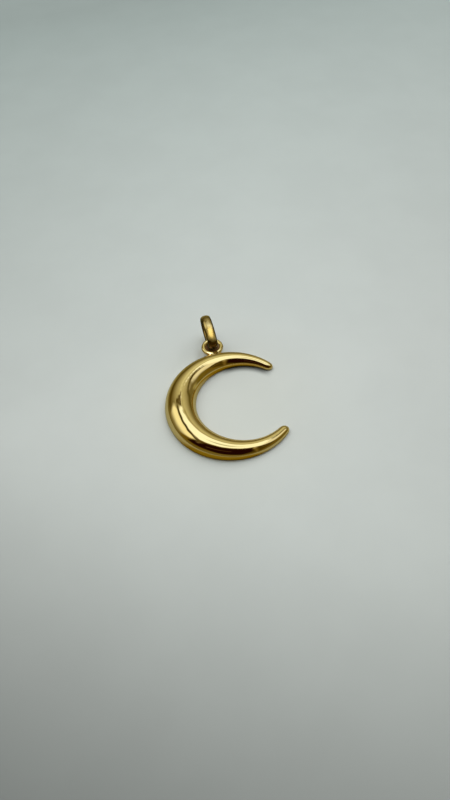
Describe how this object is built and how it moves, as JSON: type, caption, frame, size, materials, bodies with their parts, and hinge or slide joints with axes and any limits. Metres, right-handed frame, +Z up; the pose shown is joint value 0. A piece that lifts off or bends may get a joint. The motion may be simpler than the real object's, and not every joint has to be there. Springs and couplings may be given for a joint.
{
  "type": "moon pendant",
  "caption": "Polished gold crescent moon pendant with a domed front, a flat back, a soldered eye ring and a loose half-round bail ring for a chain, lying on its back.",
  "frame": {"origin": "on the table under the middle of the whole pendant", "axes": "+Y from the crescent to its bail, which is up when it is worn, +X to the side where the horns open, +Z up from the table through the domed front"},
  "size_m": [0.0236, 0.0332, 0.0073],
  "materials": {
    "moon_gold": "mirror polished yellow gold",
    "bail_gold": "polished yellow gold with light wear"
  },
  "bodies": {
    "root": {"crescent": "moon_gold", "bail": "bail_gold"}
  },
  "joints": []
}
